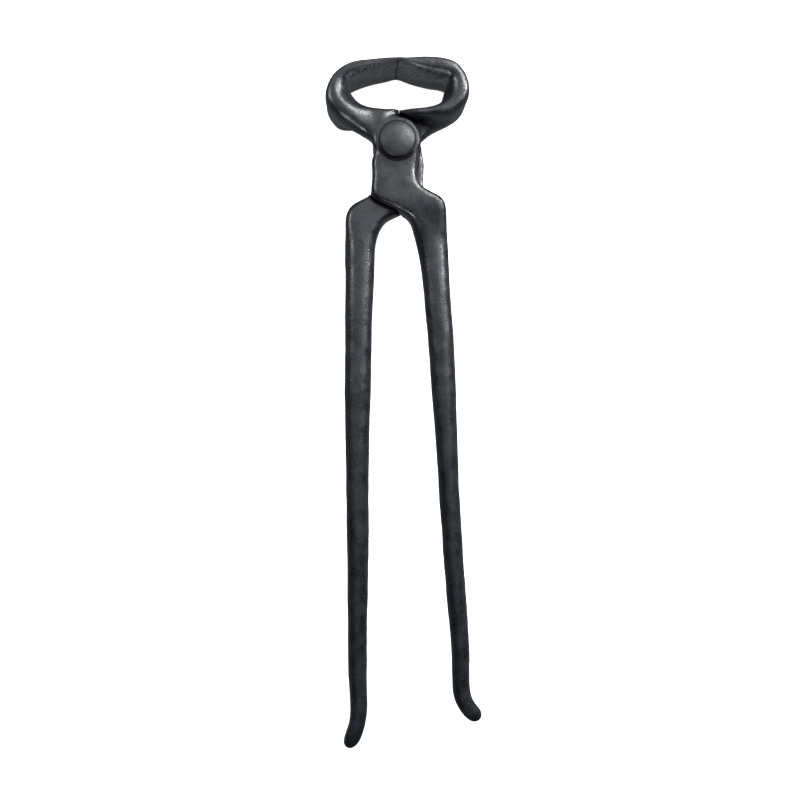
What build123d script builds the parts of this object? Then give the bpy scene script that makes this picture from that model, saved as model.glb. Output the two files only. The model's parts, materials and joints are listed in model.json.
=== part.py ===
from build123d import *
from math import atan2, hypot, pi, tan
import os

# Farrier's hoof nipper: two forged halves that cross in a riveted lap joint.
# It lies flat with the rivet upright: +Z along the rivet, +Y towards the cutting edges, millimetres.
# Outlines are given from the rivet axis and the mid-plane. PIVOT carries them into the part's frame,
# whose origin is the centre of the bounding box's base.

PIVOT = Vector(0.5, 148.25, 15.0)

JAW_DEPTH = 30.0  # along the rivet axis, at the cheeks and blades
BOSS_RADIUS = 13.4
LAP_THICKNESS = 11.0  # each half in the lap joint
LAP_GAP = 0.2  # between the two lap faces
LAP_CLEARANCE = 0.4  # beside the lap, around the boss and along the neck
CROTCH_CLEARANCE = 1.6  # below the crotch, where the two reins part
LAP_WALL_Y = 12.4  # step from the lap face up to full jaw depth
EDGE_ROUNDING = 2.0  # of the faced boss

SHANK_RADIUS = 5.5
RUNNING_CLEARANCE = 0.05  # radial, front half on the shank
HEAD_RADIUS = 10.2
HEAD_RIM = 1.0  # upright edge of a rivet head
HEAD_HEIGHT = 3.2
TAIL_RADIUS = 9.4
TAIL_HEIGHT = 2.6
HEAD_LIFT = 0.1  # play under the domed head

# A bar is a list of stations. Each is the outer and inner edge point, the heights of its lap-side
# and outer faces from the mid-plane, and its corner radius. A jaw's rims also stand back from its
# inner edge: the last pair is how far across, and how far the slope between them drops.
FRONT_CHEEK = [
    ((1.0, 1.8), (1.0, 17.4), 14.0, 10.5, 2.4, (2.0, 2.0)),
    ((-6.0, 0.8), (-4.8, 17.7), 14.1, 10.5, 2.4, (2.0, 2.0)),
    ((-13.4, 0.9), (-9.7, 18.1), 14.4, 10.7, 2.8, (2.0, 2.0)),
    ((-21.0, 5.4), (-16.3, 19.2), 14.9, 11.6, 4.2, (3.0, 3.0)),
    ((-28.6, 9.8), (-19.7, 20.8), 15.3, 14.2, 4.6, (5.0, 6.0)),
    ((-34.8, 15.2), (-21.8, 23.1), 15.3, 15.4, 4.4, (7.0, 8.0)),
    ((-38.5, 22.5), (-24.0, 26.2), 15.3, 15.3, 3.8, (7.8, 9.0)),
    ((-37.6, 28.8), (-26.0, 29.2), 15.3, 15.3, 3.2, (6.2, 7.0)),
    ((-35.1, 33.6), (-27.2, 31.6), 15.2, 15.2, 2.4, (3.4, 4.0)),
    ((-30.6, 37.8), (-26.6, 32.9), 15.0, 15.0, 1.6, (1.9, 2.4)),
]
FRONT_BLADE = [
    ((-30.6, 37.8), (-26.6, 32.9), 15.0, 15.0, 1.6, (1.9, 2.4)),
    ((-23.8, 41.1), (-21.7, 35.2), 15.0, 15.0, 1.3, (1.6, 2.0)),
    ((-15.5, 42.4), (-14.6, 37.6), 15.0, 15.0, 1.0, (1.2, 1.6)),
    ((-7.0, 42.9), (-6.7, 39.6), 15.0, 15.0, 0.7, (0.8, 1.0)),
    ((1.65, 43.0), (1.65, 42.0), 15.0, 15.0, 0.25, (0.2, 0.2)),
]
BACK_CHEEK = [
    ((1.1, 1.6), (1.1, 15.6), 14.0, 10.5, 2.4, (2.0, 2.0)),
    ((6.0, 0.8), (5.6, 16.0), 14.1, 10.5, 2.4, (2.0, 2.0)),
    ((11.6, 1.6), (10.0, 16.4), 14.4, 10.7, 2.8, (2.0, 2.0)),
    ((20.4, 7.6), (17.4, 17.3), 14.9, 11.6, 4.2, (3.0, 3.0)),
    ((28.9, 11.6), (23.3, 18.6), 15.3, 13.4, 5.0, (3.0, 4.0)),
    ((35.7, 16.4), (26.0, 21.3), 15.3, 15.0, 4.8, (4.8, 6.5)),
    ((40.2, 22.8), (27.2, 25.2), 15.3, 15.3, 3.8, (6.6, 8.0)),
    ((40.4, 29.8), (28.1, 28.6), 15.3, 15.3, 3.4, (5.8, 7.0)),
    ((38.2, 35.4), (29.9, 30.8), 15.2, 15.2, 2.6, (3.8, 4.6)),
    ((34.2, 40.0), (30.2, 32.8), 15.0, 15.0, 1.8, (2.6, 3.2)),
]
BACK_BLADE = [
    ((34.2, 40.0), (30.2, 32.8), 15.0, 15.0, 1.8, (2.6, 3.2)),
    ((26.4, 42.6), (24.2, 34.2), 15.0, 15.0, 1.5, (2.6, 3.0)),
    ((17.6, 43.3), (16.8, 35.8), 15.0, 15.0, 1.1, (2.4, 2.8)),
    ((9.6, 43.1), (9.2, 38.9), 15.0, 15.0, 0.7, (1.2, 1.6)),
    ((1.75, 43.0), (1.75, 42.0), 15.0, 15.0, 0.25, (0.2, 0.2)),
]
NECK_STATIONS = 7  # the first stations of a rein, whose inner points are the lap's free side
FRONT_REIN = [
    ((11.9, -2.0), (-13.0, -1.0), 5.2, 10.6, 2.6),
    ((11.5, -9.0), (-13.5, -8.0), 5.2, 10.6, 2.6),
    ((10.0, -16.8), (-14.2, -15.8), 5.2, 10.6, 2.8),
    ((11.6, -23.0), (-14.9, -22.8), 5.2, 10.6, 3.0),
    ((17.2, -27.6), (-15.0, -29.4), 5.2, 10.6, 3.2),
    ((23.6, -31.2), (-8.6, -34.0), 5.4, 10.4, 3.6),
    ((25.9, -37.0), (-1.4, -37.8), 5.6, 9.6, 4.0),
    ((26.3, -43.8), (5.2, -42.0), 5.8, 8.4, 4.2),
    ((26.5, -51.0), (8.5, -50.8), 6.0, 7.0, 4.2),
    ((26.8, -62.0), (10.7, -62.4), 6.0, 6.1, 4.0),
    ((27.4, -84.0), (12.7, -84.0), 5.8, 5.8, 4.0),
    ((28.6, -116.0), (14.4, -116.0), 5.5, 5.5, 4.0),
    ((28.6, -158.0), (16.3, -158.0), 5.2, 5.2, 4.0),
    ((28.9, -201.0), (17.8, -201.0), 5.0, 5.0, 4.0),
    ((30.6, -257.0), (20.0, -257.0), 4.7, 4.7, 3.8),
    ((31.2, -300.0), (21.4, -300.5), 4.5, 4.5, 3.6),
    ((31.6, -314.0), (22.7, -316.4), 4.4, 4.4, 3.4),
    ((34.2, -319.4), (26.5, -323.4), 4.2, 4.2, 3.2),
    ((37.0, -323.4), (30.8, -327.9), 3.6, 3.6, 2.8),
    ((37.1, -326.4), (34.4, -328.6), 1.8, 1.8, 1.0),
]
BACK_REIN = [
    ((-11.9, -2.0), (14.8, -1.0), 5.2, 10.6, 2.6),
    ((-11.5, -9.0), (15.2, -8.0), 5.2, 10.6, 2.6),
    ((-10.4, -16.8), (15.0, -15.8), 5.2, 10.6, 2.8),
    ((-12.6, -24.4), (15.0, -22.4), 5.2, 10.6, 3.0),
    ((-18.2, -29.4), (14.4, -28.2), 5.2, 10.6, 3.2),
    ((-25.6, -33.4), (8.4, -33.8), 5.4, 10.4, 3.6),
    ((-29.4, -39.0), (1.4, -38.0), 5.6, 9.6, 4.0),
    ((-30.0, -45.6), (-6.6, -41.6), 5.8, 8.4, 4.2),
    ((-30.5, -53.0), (-12.9, -51.0), 6.0, 7.0, 4.2),
    ((-30.9, -65.0), (-14.8, -65.0), 6.0, 6.1, 4.0),
    ((-31.6, -87.0), (-16.6, -87.0), 5.8, 5.8, 4.0),
    ((-33.1, -120.0), (-18.6, -120.0), 5.5, 5.5, 4.0),
    ((-34.2, -160.0), (-21.0, -160.0), 5.2, 5.2, 4.0),
    ((-35.1, -201.0), (-22.9, -201.0), 5.0, 5.0, 4.0),
    ((-36.6, -257.0), (-25.4, -257.0), 4.7, 4.7, 3.8),
    ((-37.3, -304.0), (-27.7, -304.5), 4.5, 4.5, 3.6),
    ((-37.7, -322.6), (-28.9, -324.4), 4.4, 4.4, 3.4),
    ((-39.6, -329.6), (-31.3, -332.7), 4.2, 4.2, 3.2),
    ((-41.6, -335.2), (-34.9, -338.2), 3.6, 3.6, 2.8),
    ((-41.2, -338.4), (-38.2, -339.9), 1.8, 1.8, 1.0),
]

TRIM_SIZE = (120.0, 120.0)  # covers both jaws
RECESS_SIZE = (45.0, 55.0)  # room beside the lap for the other half's neck to swing


def section_plane(outer, inner, low, high):
    """Upright plane across a bar, with X from its inner to its outer edge."""
    across = Vector(outer[0] - inner[0], outer[1] - inner[1], 0)
    middle = Vector((outer[0] + inner[0]) / 2, (outer[1] + inner[1]) / 2, (low + high) / 2)
    return Plane(PIVOT + middle, x_dir=across, z_dir=across.cross(Vector(0, 0, 1)))


def relieved_bar(width, height, corner, relief):
    """Rounded bar whose rims stand back from its inner edge, as a sketch with X towards the outer edge."""
    setback, drop = relief
    x, y = width / 2, height / 2
    turn = atan2(drop, setback)
    room = min(hypot(drop, setback) / 2, width - setback - corner)
    inner_corner = 0.9 * room / tan(max(turn, pi / 2 - turn) / 2)
    with BuildSketch(mode=Mode.PRIVATE) as section:
        with BuildLine():
            Polyline((x, -y), (x, y), (setback - x, y), (-x, y - drop), (-x, drop - y),
                     (setback - x, -y), close=True)
        make_face()
        fillet(section.vertices().sort_by(Axis.X)[-2:], corner)
        fillet(section.vertices().sort_by(Axis.X)[:4], inner_corner)
    return section.sketch


def forge_half(layer, bars, other_rein, bore_radius):
    """One half. layer is +1 for the half whose lap is on top, -1 for the one underneath."""
    plan = Plane(PIVOT)
    lap_face = plan.offset(layer * LAP_GAP / 2)
    free_side = [
        (inner[0] + layer * LAP_CLEARANCE, inner[1] - LAP_CLEARANCE)
        for _, inner, *_ in other_rein[:NECK_STATIONS]
    ]
    with BuildPart() as half:
        # The faced boss around the rivet.
        with BuildSketch(lap_face):
            Circle(BOSS_RADIUS)
        extrude(amount=layer * (LAP_THICKNESS - LAP_GAP / 2))
        fillet(half.edges().sort_by(Axis(PIVOT, (0, 0, layer)))[-1], EDGE_ROUNDING)
        # Each forged bar, at full depth across the lap.
        for bar in bars:
            for outer, inner, lap_side, face_side, corner, *relief in bar:
                low, high = (-lap_side, face_side) if layer > 0 else (-face_side, lap_side)
                width = (Vector(*outer) - Vector(*inner)).length
                with BuildSketch(section_plane(outer, inner, low, high)):
                    if relief:
                        add(relieved_bar(width, high - low, corner, *relief))
                    else:
                        RectangleRounded(width, high - low, corner)
            loft()
        # Flat rims at the jaw's full depth.
        for side in (1, -1):
            with BuildSketch(plan.offset(side * JAW_DEPTH / 2)):
                Rectangle(*TRIM_SIZE)
            extrude(amount=side * JAW_DEPTH, mode=Mode.SUBTRACT)
        # The recess that takes the other half's boss and neck.
        with BuildSketch(lap_face):
            with BuildLine():
                Spline(*free_side)
                Polyline(free_side[-1], (0, free_side[-1][1] - CROTCH_CLEARANCE), (0, LAP_WALL_Y),
                         (free_side[0][0], LAP_WALL_Y), free_side[0])
            make_face()
            Circle(BOSS_RADIUS + LAP_CLEARANCE)
            with Locations((0, LAP_WALL_Y)):
                Rectangle(*RECESS_SIZE, align=(Align.MAX if layer > 0 else Align.MIN, Align.MAX))
        extrude(amount=-layer * JAW_DEPTH, mode=Mode.SUBTRACT)
        # The rivet hole.
        with BuildSketch(plan):
            Circle(bore_radius)
        extrude(amount=JAW_DEPTH, both=True, mode=Mode.SUBTRACT)
    return half


front_bars = (FRONT_CHEEK, FRONT_BLADE, FRONT_REIN)
back_bars = (BACK_CHEEK, BACK_BLADE, BACK_REIN)
front_half = forge_half(1, front_bars, BACK_REIN, SHANK_RADIUS + RUNNING_CLEARANCE)
back_half = forge_half(-1, back_bars, FRONT_REIN, SHANK_RADIUS)


def dome_radius(rim_radius, rise):
    """Radius of the sphere that rises by rise over a circular rim."""
    return (rim_radius**2 + rise**2) / (2 * rise)


with BuildPart() as pivot_rivet:
    with BuildSketch(Plane(PIVOT, x_dir=(1, 0, 0), z_dir=(0, -1, 0))):
        with BuildLine():
            head_base = LAP_THICKNESS + HEAD_LIFT
            head_top = head_base + HEAD_HEIGHT
            tail_top = -LAP_THICKNESS - TAIL_HEIGHT
            Line((0, tail_top), (0, head_top))
            RadiusArc((0, head_top), (HEAD_RADIUS, head_base + HEAD_RIM),
                      dome_radius(HEAD_RADIUS, HEAD_HEIGHT - HEAD_RIM))
            Polyline((HEAD_RADIUS, head_base + HEAD_RIM), (HEAD_RADIUS, head_base), (SHANK_RADIUS, head_base),
                     (SHANK_RADIUS, -LAP_THICKNESS), (TAIL_RADIUS, -LAP_THICKNESS),
                     (TAIL_RADIUS, -LAP_THICKNESS - HEAD_RIM))
            RadiusArc((TAIL_RADIUS, -LAP_THICKNESS - HEAD_RIM), (0, tail_top),
                      dome_radius(TAIL_RADIUS, TAIL_HEIGHT - HEAD_RIM))
        make_face()
    revolve(axis=Axis(PIVOT, (0, 0, 1)))

os.makedirs("parts", exist_ok=True)
front_half.part.label = "front_half"
export_step(front_half.part, "parts/front_half.step")
back_half.part.label = "back_half"
export_step(back_half.part, "parts/back_half.step")
pivot_rivet.part.label = "pivot_rivet"
export_step(pivot_rivet.part, "parts/pivot_rivet.step")
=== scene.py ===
import json
import math

import bpy
import numpy as np
from mathutils import Matrix, Vector, noise
from mathutils.bvhtree import BVHTree


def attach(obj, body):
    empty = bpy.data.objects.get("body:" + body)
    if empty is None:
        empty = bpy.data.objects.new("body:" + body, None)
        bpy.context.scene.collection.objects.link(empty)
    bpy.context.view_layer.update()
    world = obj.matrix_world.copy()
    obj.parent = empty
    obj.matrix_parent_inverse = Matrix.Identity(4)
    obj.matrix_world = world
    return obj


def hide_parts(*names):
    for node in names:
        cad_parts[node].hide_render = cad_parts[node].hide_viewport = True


# Farrier's hoof nipper in black oxide, lying on a white table and seen from above.
# Metres throughout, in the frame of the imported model.

MM = 0.001
VOXEL = 0.55 * MM  # quads of the shown surface; a finer mesh is over 200 000 triangles a piece
SEAM_X = 1.70 * MM  # where the blades meet, from the pivot
SEAM_GAP = 0.01 * MM  # from each blade to that plane
BEND_UNIT = 0.02 * MM  # of the "convex" attribute
RING_RADIUS = 10.9 * MM  # of the painted shadow crescent round the rivet head

SCALE_DARK = (0.006, 0.0066, 0.009, 1)
SCALE_LIGHT = (0.019, 0.020, 0.026, 1)
GRAIN = (0.038, 0.040, 0.048, 1)
GROUND_DARK = (0.038, 0.040, 0.050, 1)
GROUND_LIGHT = (0.14, 0.145, 0.17, 1)
WORN = (0.16, 0.16, 0.165, 1)
# Colour of the dark seam line and of the painted shade and painted shadow.
SEAM_AND_SHADE_DARK = (0.003, 0.003, 0.005, 1)


# ---------------------------------------------------------------- meshes

def copy_of(node, name):
    """A free copy of a CAD node's mesh, with its doubled vertices merged."""
    obj = bpy.data.objects.new(name, node.data.copy())
    bpy.context.scene.collection.objects.link(obj)
    weld = obj.modifiers.new("weld", "WELD")
    weld.merge_threshold = 0.002 * MM
    return obj


def remeshed(obj, cad, voxel):
    """Even quads over the CAD surface, pulled back on to it."""
    remesh = obj.modifiers.new("remesh", "REMESH")
    remesh.mode = "VOXEL"
    remesh.voxel_size = voxel
    wrap = obj.modifiers.new("wrap", "SHRINKWRAP")
    wrap.target = cad
    wrap.wrap_method = "NEAREST_SURFACEPOINT"
    bake_modifiers(obj)


def bake_modifiers(obj):
    graph = bpy.context.evaluated_depsgraph_get()
    mesh = bpy.data.meshes.new_from_object(obj.evaluated_get(graph))
    mesh.materials.clear()
    obj.modifiers.clear()
    obj.data = mesh


def vertices(mesh):
    co = np.empty(len(mesh.vertices) * 3)
    mesh.vertices.foreach_get("co", co)
    return co.reshape(-1, 3)


def normals(mesh):
    no = np.empty(len(mesh.vertices) * 3)
    mesh.vertices.foreach_get("normal", no)
    return no.reshape(-1, 3)


def put_vertices(mesh, co):
    mesh.vertices.foreach_set("co", co.ravel())
    mesh.update()


class Links:
    """The edges of a mesh, for averages over each vertex's neighbours."""

    def __init__(self, mesh):
        pairs = np.empty(len(mesh.edges) * 2, np.int64)
        mesh.edges.foreach_get("vertices", pairs)
        self.a, self.b = pairs.reshape(-1, 2).T
        self.count = len(mesh.vertices)
        self.degree = np.bincount(self.a, minlength=self.count)
        self.degree += np.bincount(self.b, minlength=self.count)

    def mean(self, values):
        if values.ndim == 1:
            total = np.bincount(self.a, values[self.b], self.count)
            total += np.bincount(self.b, values[self.a], self.count)
            return total / self.degree
        return np.stack([self.mean(column) for column in values.T], axis=1)


def ramp(x, low, high):
    """0 below low, 1 above high, smooth between."""
    t = np.clip((x - low) / (high - low), 0, 1)
    return t * t * (3 - 2 * t)


def clearance_to(other, co):
    """Distance from each point to another piece, up to 5 mm."""
    mesh = other.data
    tree = BVHTree.FromPolygons([v.co for v in mesh.vertices], [p.vertices for p in mesh.polygons])
    far = 5 * MM
    hits = [tree.find_nearest(Vector(p), far)[3] for p in co]
    return np.array([far if hit is None else hit for hit in hits])


def soften(obj, weight, passes):
    """Rounds a mesh by neighbour averaging, as much as weight says at each vertex."""
    links = Links(obj.data)
    co = vertices(obj.data)
    for _ in range(passes):
        co += 0.6 * weight[:, None] * (links.mean(co) - co)
    put_vertices(obj.data, co)


def ruffle(obj, weight, layers):
    """Moves the skin in and out by layers of noise, each a wavelength, a height and a seed."""
    co = vertices(obj.data)
    no = normals(obj.data)
    lift = np.zeros(len(co))
    for wavelength, height, seed in layers:
        shift = Vector((seed * 1.7, seed * 2.3, seed * 0.9))
        lift += height * np.array([noise.noise(Vector(p) / wavelength + shift) for p in co])
    put_vertices(obj.data, co + no * (lift * weight)[:, None])


def swell(obj, amount):
    """Moves the skin out to make up for what the rounding took in."""
    put_vertices(obj.data, vertices(obj.data) + normals(obj.data) * amount[:, None])


def crown(obj, free):
    """Rounds a rein's faces: its section, a rounded bar in the CAD, becomes a fuller oval."""
    co = vertices(obj.data)
    row = np.round((co[:, 1] - co[:, 1].min()) / MM).astype(int)
    left = np.full(row.max() + 1, np.inf)
    right = np.full(row.max() + 1, -np.inf)
    np.minimum.at(left, row, co[:, 0])
    np.maximum.at(right, row, co[:, 0])
    u = (2 * co[:, 0] - left[row] - right[row]) / (right[row] - left[row])
    rein = ramp(-co[:, 1] + pivot.y, 42 * MM, 60 * MM) * ramp(co[:, 1], shoe, shoe + 12 * MM) * free
    flat = 1 - np.sqrt(1 - 0.80 * np.clip(u, -1, 1) ** 2)
    co[:, 2] -= (co[:, 2] - pivot.z) * flat * rein
    put_vertices(obj.data, co)


def meet(obj, plane_x, side, reach):
    """Draws the jaw's end out to the plane where the jaws meet; side is the end's direction along X."""
    co = vertices(obj.data)
    short = side * (plane_x - co[:, 0])
    end = (co[:, 1] > pivot.y + 30 * MM) | ((co[:, 1] > pivot.y + 12.6 * MM) & (short < 4 * MM))
    pull = np.where(end & (short > -reach), 1 - ramp(short, 0.1 * reach, reach), 0)
    co[:, 0] += side * short * pull
    put_vertices(obj.data, co)


def store(mesh, name, values):
    """Keeps a number per vertex for the material to read."""
    layer = mesh.attributes.new(name, "FLOAT", "POINT")
    layer.data.foreach_set("value", values.astype(np.float32))


def store_convexity(obj, passes=4):
    """Stores and returns how convex the surface is at each vertex."""
    links = Links(obj.data)
    co = vertices(obj.data)
    no = normals(obj.data)
    bend = np.einsum("ij,ij->i", co - links.mean(co), no)
    for _ in range(passes):
        bend = links.mean(bend)
    bend /= BEND_UNIT
    store(obj.data, "convex", bend)
    return bend


def ground_face(obj):
    """Stores where the blades' inner faces are, which are ground rather than forged."""
    co = vertices(obj.data)
    no = normals(obj.data)
    facing = ramp(-no[:, 1], 0.45, 0.85)
    blade = ramp(co[:, 1], pivot.y + 26 * MM, pivot.y + 30 * MM)
    store(obj.data, "ground", facing * blade)


def seam_and_painted_shade(obj, room, bend):
    """Stores a dark line along the seam where the blades meet, and painted shade: in the lap near the other
    pieces, a painted shadow crescent on the rein side of the rivet head, and on the rounded edges of the
    neck and upper reins, where it dulls their highlights.
    """
    co = vertices(obj.data)
    across, along = co[:, 0] - pivot.x, co[:, 1] - pivot.y
    # Painted shade in the lap, darker the nearer the other piece.
    lap_shade = (1 - ramp(room, 0.3 * MM, 3.0 * MM)) * (1 - ramp(along, 24 * MM, 30 * MM))
    # A dark line along the seam where the blades meet.
    seam = 1 - ramp(np.abs(across - SEAM_X), 0.15 * MM, 0.9 * MM)
    seam *= ramp(along, 26 * MM, 30 * MM)
    # Painted shadow: a crescent round the rivet head, on its rein side only.
    out = np.hypot(across, along)
    rivet_shadow = 1 - ramp(np.abs(out - RING_RADIUS), 0.5 * MM, 1.9 * MM)
    rivet_shadow *= ramp(-(along + 0.15 * across) / np.maximum(out, MM), 0.1, 0.75)
    # Painted shade on the rounded edges of the neck, boss and upper reins, dulling the highlights there.
    edge_shade = ramp(bend, 0.63, 0.95) * ramp(along, -110 * MM, -80 * MM)
    edge_shade *= 1 - ramp(along, 20 * MM, 25 * MM)
    edge_shade *= 1 - ramp(along, -4 * MM, 2 * MM) * ramp(np.abs(across), 12 * MM, 17 * MM)
    store(obj.data, "seam_and_painted_shade", np.maximum.reduce([0.8 * seam, rivet_shadow, 0.8 * lap_shade, 0.65 * edge_shade]))


def round_rim(obj):
    """Rounds the blade's outer rim and makes up for what that took in."""
    co = vertices(obj.data)
    rim = ramp(co[:, 1] - pivot.y, 33 * MM, 36 * MM) * ramp(normals(obj.data)[:, 1], -0.25, 0.1)
    rim *= ramp(np.abs(co[:, 0] - pivot.x), 3 * MM, 12 * MM)
    soften(obj, rim, 40)
    co = vertices(obj.data)
    co[:, 1] += 0.5 * MM * rim
    put_vertices(obj.data, co)


def forge_skin(obj, free):
    """Rounds the junctions and roughens the skin, where free of the other pieces."""
    co = vertices(obj.data)
    across, along = np.abs(co[:, 0] - pivot.x), co[:, 1] - pivot.y
    blade = ramp(along, 34 * MM, 38 * MM)
    cheek = ramp(along, -2 * MM, 5 * MM) * (1 - blade) * ramp(across, 10 * MM, 19 * MM)
    soften(obj, free * (1 - 0.8 * blade), 20)
    soften(obj, free * cheek, 70)
    neck = ramp(-along, 2 * MM, 8 * MM) * (1 - ramp(-along, 28 * MM, 36 * MM))
    soften(obj, free * neck, 25)
    round_rim(obj)
    crown(obj, free)
    lower = 1 - ramp(vertices(obj.data)[:, 1] - pivot.y, -34 * MM, -28 * MM)
    swell(obj, free * np.maximum(0.35 * cheek, 0.3 * lower) * MM)
    ruffle(obj, free, [(16 * MM, 0.30 * MM, 3), (7 * MM, 0.14 * MM, 5), (2.2 * MM, 0.035 * MM, 8)])


def forging(name, node, others, body, material, side=0):
    """One forged piece over its CAD node; side is the direction of a jaw's end along X, 0 for none."""
    cad = frame["nodes"][node]
    obj = copy_of(cad, name)
    remeshed(obj, cad, VOXEL)
    co = vertices(obj.data)
    rooms = [clearance_to(frame["nodes"][other], co) for other in others]
    forge_skin(obj, ramp(np.minimum(*rooms), 0.5 * MM, 2.0 * MM))
    bend = store_convexity(obj)
    ground_face(obj)
    seam_and_painted_shade(obj, rooms[0], bend * abs(side))
    if side:
        meet(obj, pivot.x + SEAM_X - side * SEAM_GAP, side, 1.5 * MM)
    obj.data.shade_smooth()
    obj.data.materials.append(material)
    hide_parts(node)
    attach(obj, body)


# ---------------------------------------------------------------- materials

class Graph:
    """Short names for building a node tree."""

    def __init__(self, name):
        self.material = bpy.data.materials.new(name)
        self.material.use_nodes = True
        self.tree = self.material.node_tree
        self.shader = self.tree.nodes["Principled BSDF"]
        self.place = self.tree.nodes.new("ShaderNodeTexCoord").outputs["Object"]

    def node(self, kind, **settings):
        node = self.tree.nodes.new(kind)
        for key, value in settings.items():
            setattr(node, key, value)
        return node

    def feed(self, socket, value):
        if hasattr(value, "is_output"):
            self.tree.links.new(value, socket)
        else:
            socket.default_value = value

    def noise(self, wavelength, detail, stretch=(1, 1, 1), turn=(0, 0, 0), rough=0.5):
        mapping = self.node("ShaderNodeMapping", vector_type="TEXTURE")
        self.feed(mapping.inputs["Vector"], self.place)
        mapping.inputs["Rotation"].default_value = turn
        mapping.inputs["Scale"].default_value = [wavelength * s for s in stretch]
        texture = self.node("ShaderNodeTexNoise")
        self.feed(texture.inputs["Vector"], mapping.outputs[0])
        texture.inputs["Scale"].default_value = 1.0
        texture.inputs["Detail"].default_value = detail
        texture.inputs["Roughness"].default_value = rough
        return texture.outputs["Fac"]

    def curve(self, value, low, high, out_low=0.0, out_high=1.0):
        node = self.node("ShaderNodeMapRange", interpolation_type="SMOOTHSTEP")
        self.feed(node.inputs["Value"], value)
        node.inputs["From Min"].default_value = low
        node.inputs["From Max"].default_value = high
        node.inputs["To Min"].default_value = out_low
        node.inputs["To Max"].default_value = out_high
        return node.outputs["Result"]

    def math(self, operation, a, b=0.0):
        node = self.node("ShaderNodeMath", operation=operation)
        self.feed(node.inputs[0], a)
        self.feed(node.inputs[1], b)
        return node.outputs[0]

    def mix(self, factor, a, b):
        node = self.node("ShaderNodeMix", data_type="RGBA")
        self.feed(node.inputs[0], factor)
        self.feed(node.inputs[6], a)
        self.feed(node.inputs[7], b)
        return node.outputs[2]

    def attribute(self, name):
        return self.node("ShaderNodeAttribute", attribute_name=name).outputs["Fac"]

    def bump(self, height, depth, below=None):
        node = self.node("ShaderNodeBump")
        node.inputs["Strength"].default_value = 1.0
        node.inputs["Distance"].default_value = depth
        self.feed(node.inputs["Height"], height)
        if below is not None:
            self.feed(node.inputs["Normal"], below)
        return node.outputs[0]


def black_forging(name, dull=0.0):
    """Black oxide on forged steel: blotchy scale, fine pitting, worn edges and ground inner faces, darkened
    along the seam and by painted shade and painted shadow.
    """
    g = Graph(name)
    blotch = g.noise(9 * MM, 4)
    grain = g.noise(1.3 * MM, 5, rough=0.65)
    pits = g.noise(0.7 * MM, 2)
    streaks = g.noise(1.1 * MM, 3, stretch=(1, 1, 14), turn=(0, 0.63, 0), rough=0.6)
    ground, convex, seam_and_shade = (g.attribute(name) for name in ("ground", "convex", "seam_and_painted_shade"))

    colour = g.mix(g.curve(blotch, 0.36, 0.66), SCALE_DARK, SCALE_LIGHT)
    colour = g.mix(g.curve(grain, 0.50, 0.72, 0.0, 0.6), colour, GRAIN)
    colour = g.mix(ground, colour, g.mix(g.curve(streaks, 0.40, 0.66), GROUND_DARK, GROUND_LIGHT))
    worn = g.math("MULTIPLY", g.curve(convex, 0.6, 3.0), g.curve(grain, 0.35, 0.65))
    colour = g.mix(g.math("MULTIPLY", worn, 0.12), colour, WORN)
    # Darkens the seam line and the painted shade and shadow. The same mask lowers the specular below,
    # dulling highlights there.
    colour = g.mix(g.math("MULTIPLY", seam_and_shade, 0.9), colour, SEAM_AND_SHADE_DARK)
    g.feed(g.shader.inputs["Base Color"], colour)

    satin = g.curve(g.noise(5 * MM, 4), 0.3, 0.7, 0.25 + dull, 0.36 + dull)
    satin = g.math("ADD", satin, g.curve(convex, 0.9, 2.2, 0.0, 0.25))
    g.feed(g.shader.inputs["Roughness"], satin)
    g.shader.inputs["Metallic"].default_value = 0.0
    sheen = g.curve(seam_and_shade, 0.0, 1.0, 0.72, 0.08)
    sheen = g.math("MULTIPLY", sheen, g.curve(convex, 0.9, 2.2, 1.0, 0.45))
    g.feed(g.shader.inputs["Specular IOR Level"], sheen)

    skin = g.bump(grain, 0.10 * MM)
    scale = g.bump(g.curve(pits, 0.3, 0.55), 0.02 * MM, skin)
    scratches = g.bump(g.math("MULTIPLY", streaks, ground), 0.025 * MM, scale)
    g.feed(g.shader.inputs["Normal"], scratches)
    return g.material


# ---------------------------------------------------------------- scene

def white_stage():
    """A back-lit white table and surround, which fill the camera's view but do not light the tool."""
    g = Graph("stage_white")
    fleck = g.noise(40 * MM, 2)
    g.feed(g.shader.inputs["Base Color"], g.mix(fleck, (0.80, 0.80, 0.80, 1), (0.84, 0.84, 0.84, 1)))
    g.shader.inputs["Roughness"].default_value = 0.9
    g.shader.inputs["Emission Color"].default_value = (1, 1, 1, 1)
    g.shader.inputs["Emission Strength"].default_value = 1.0
    bpy.ops.mesh.primitive_plane_add(size=8.0, location=(0, 0, -0.3 * MM))
    bpy.context.object.name = "table"
    bpy.ops.mesh.primitive_uv_sphere_add(radius=3.5, segments=48, ring_count=24)
    bpy.context.object.name = "surround"
    for name in ("table", "surround"):
        obj = bpy.data.objects[name]
        obj.data.materials.append(g.material)
        obj.visible_diffuse = False
        obj.visible_glossy = False
        obj.visible_shadow = False


def softbox(name, place, aim, size, radiance):
    """A rectangular area light of even radiance, aimed at a point."""
    light = bpy.data.lights.new(name, "AREA")
    light.shape = "RECTANGLE"
    light.size, light.size_y = size
    light.energy = radiance * math.pi * size[0] * size[1]
    obj = bpy.data.objects.new(name, light)
    obj.location = place
    obj.rotation_euler = (Vector(aim) - Vector(place)).to_track_quat("-Z", "Y").to_euler()
    bpy.context.scene.collection.objects.link(obj)


def spot(name, place, aim, cone, power):
    """A soft-edged spotlight; cone is its whole angle in degrees."""
    light = bpy.data.lights.new(name, "SPOT")
    light.spot_size = math.radians(cone)
    light.spot_blend = 0.8
    light.shadow_soft_size = 0.08
    light.energy = power
    obj = bpy.data.objects.new(name, light)
    obj.location = place
    obj.rotation_euler = (Vector(aim) - Vector(place)).to_track_quat("-Z", "Y").to_euler()
    bpy.context.scene.collection.objects.link(obj)


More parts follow.
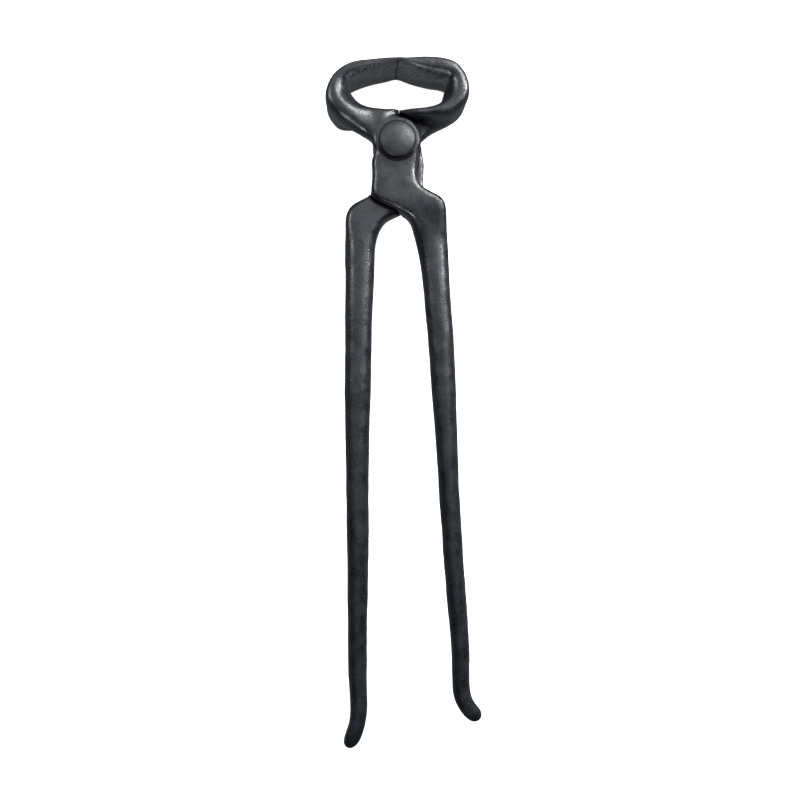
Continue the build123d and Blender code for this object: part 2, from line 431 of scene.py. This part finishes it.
def sky():
    """World light that grows towards the north and overhead, with a faint glow from the table below."""
    world = bpy.data.worlds.new("studio")
    world.use_nodes = True
    tree = world.node_tree
    coords = tree.nodes.new("ShaderNodeTexCoord")
    toward = tree.nodes.new("ShaderNodeVectorMath")
    toward.operation = "DOT_PRODUCT"
    toward.inputs[1].default_value = (0.0, 1.1, 1.0)
    rise = tree.nodes.new("ShaderNodeMapRange")
    rise.inputs["From Min"].default_value = 0.56
    rise.inputs["From Max"].default_value = 1.4
    rise.inputs["To Min"].default_value = 0.02
    rise.inputs["To Max"].default_value = 0.95
    height = tree.nodes.new("ShaderNodeSeparateXYZ")
    glow = tree.nodes.new("ShaderNodeMapRange")
    glow.inputs["From Min"].default_value = 0.05
    glow.inputs["From Max"].default_value = -0.25
    glow.inputs["To Min"].default_value = 0.0
    glow.inputs["To Max"].default_value = 0.17
    both = tree.nodes.new("ShaderNodeMath")
    both.operation = "ADD"
    background = tree.nodes["Background"]
    background.inputs["Color"].default_value = (0.95, 0.97, 1.0, 1)
    tree.links.new(coords.outputs["Generated"], toward.inputs[0])
    tree.links.new(toward.outputs["Value"], rise.inputs["Value"])
    tree.links.new(coords.outputs["Generated"], height.inputs[0])
    tree.links.new(height.outputs["Z"], glow.inputs["Value"])
    tree.links.new(rise.outputs["Result"], both.inputs[0])
    tree.links.new(glow.outputs["Result"], both.inputs[1])
    tree.links.new(both.outputs["Value"], background.inputs["Strength"])
    bpy.context.scene.world = world


def studio():
    sky()
    head = (0, 0.15, 0.015)
    softbox("north_east", (0.38, 0.57, 0.585), head, (0.18, 0.18), 36.0)
    softbox("east", (0.60, 0.38, 0.36), head, (0.24, 0.24), 36.0)
    softbox("east_strip", (0.36, 0.14, 0.60), (0, 0.06, 0), (0.12, 0.26), 3.5)
    softbox("west", (-0.54, 0.34, 0.42), head, (0.22, 0.24), 9.0)
    spot("south_west", (-0.25, -0.35, 0.38), (0, 0.175, 0.015), 18, 7.0)
    bpy.context.scene.view_settings.view_transform = "Standard"


def camera():
    data = bpy.data.cameras.new("camera")
    data.lens = 35.06
    data.sensor_width = 36.0
    data.clip_start = 0.02
    data.clip_end = 20.0
    obj = bpy.data.objects.new("camera", data)
    place = pivot + Vector((-24.7, -134.1, 440.0)) * MM
    aim = pivot + Vector((-3.0, -143.3, 0.0)) * MM
    lean = math.radians(2.0)
    back = (place - aim).normalized()
    right = Vector((math.sin(lean), math.cos(lean), 0)).cross(back).normalized()
    up = back.cross(right)
    turn = Matrix((right, up, back)).transposed().to_4x4()
    obj.matrix_world = Matrix.Translation(place) @ turn
    bpy.context.scene.collection.objects.link(obj)
    bpy.context.scene.camera = obj


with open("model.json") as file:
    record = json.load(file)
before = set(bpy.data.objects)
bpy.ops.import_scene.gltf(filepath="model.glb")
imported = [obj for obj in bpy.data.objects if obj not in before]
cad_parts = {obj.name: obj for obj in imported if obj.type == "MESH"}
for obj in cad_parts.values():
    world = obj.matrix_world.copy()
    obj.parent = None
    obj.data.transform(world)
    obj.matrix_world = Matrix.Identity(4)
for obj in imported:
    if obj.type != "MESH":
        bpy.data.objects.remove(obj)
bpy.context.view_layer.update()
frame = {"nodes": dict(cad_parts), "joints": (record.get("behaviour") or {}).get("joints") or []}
pivot = Vector(frame["joints"][0]["pos_m"])
shoe = -172 * MM  # below this the reins bend out into their hooks

steel = black_forging("forged_black_oxide")
head = black_forging("rivet_black_oxide", dull=0.16)
forging("front_forging", "front_half", ["back_half", "pivot_rivet"], "front", steel, 1)
forging("back_forging", "back_half", ["front_half", "pivot_rivet"], "back", steel, -1)
forging("rivet", "pivot_rivet", ["front_half", "back_half"], "back", head)

white_stage()
studio()
camera()
